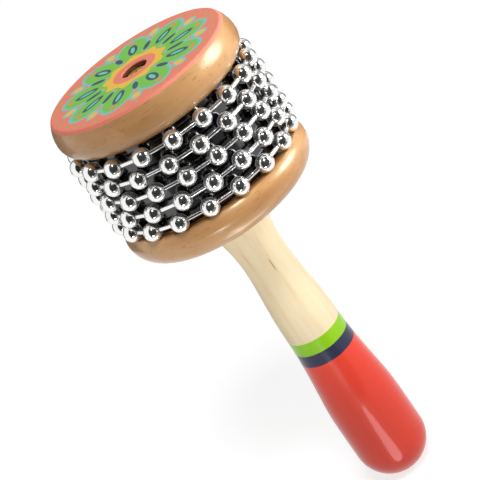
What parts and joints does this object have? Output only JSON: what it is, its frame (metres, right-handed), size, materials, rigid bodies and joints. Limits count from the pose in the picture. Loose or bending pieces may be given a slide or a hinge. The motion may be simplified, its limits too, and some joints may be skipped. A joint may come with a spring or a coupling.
{
  "type": "cabasa",
  "caption": "Hand-held wooden cabasa: a spool on a turned handle, with loose loops of steel ball chain that rub on a steel sleeve when the handle is turned.",
  "frame": {"origin": "on the axis of turning, in the middle of the handle's bare length, where the hand holds it", "axes": "+Z along the axis of turning from the butt to the painted face; -Y is the side that the picture looks at"},
  "size_m": [0.0728, 0.0726, 0.1795],
  "materials": {
    "painted_wood": "gloss paint and clear varnish",
    "varnished_wood": "clear gloss varnish",
    "face_painted_wood": "clear gloss varnish, painted face",
    "core_wood": "bare",
    "sleeve_steel": "bright rolled sheet",
    "chain_chrome": "polished nickel plate",
    "screw_steel": "yellow zinc plate",
    "washer_steel": "zinc plate"
  },
  "bodies": {
    "drum": {"handle": "painted_wood", "lower_disc": "varnished_wood", "core": "core_wood", "sleeve": "sleeve_steel", "top_disc": "face_painted_wood", "washer": "washer_steel", "screw": "screw_steel"},
    "chain_1": {"chain_1_balls": "chain_chrome", "chain_1_links": "chain_chrome", "chain_1_closing_ball": "chain_chrome"},
    "chain_2": {"chain_2_balls": "chain_chrome", "chain_2_links": "chain_chrome", "chain_2_closing_ball": "chain_chrome"},
    "chain_3": {"chain_3_balls": "chain_chrome", "chain_3_links": "chain_chrome", "chain_3_closing_ball": "chain_chrome"},
    "chain_4": {"chain_4_balls": "chain_chrome", "chain_4_links": "chain_chrome", "chain_4_closing_ball": "chain_chrome"},
    "chain_5": {"chain_5_balls": "chain_chrome", "chain_5_links": "chain_chrome", "chain_5_closing_ball": "chain_chrome"}
  },
  "joints": [
    {"name": "chain_1_spin", "type": "hinge", "parent": "drum", "child": "chain_1", "pos_m": [0, 0, 0.10237], "axis": [0, 0, 1], "continuous": true},
    {"name": "chain_2_spin", "type": "hinge", "parent": "drum", "child": "chain_2", "pos_m": [0, 0, 0.09592], "axis": [0, 0, 1], "continuous": true},
    {"name": "chain_3_spin", "type": "hinge", "parent": "drum", "child": "chain_3", "pos_m": [0, 0, 0.08947], "axis": [0, 0, 1], "continuous": true},
    {"name": "chain_4_spin", "type": "hinge", "parent": "drum", "child": "chain_4", "pos_m": [0, 0, 0.08303], "axis": [0, 0, 1], "continuous": true},
    {"name": "chain_5_spin", "type": "hinge", "parent": "drum", "child": "chain_5", "pos_m": [0, 0, 0.07658], "axis": [0, 0, 1], "continuous": true}
  ]
}
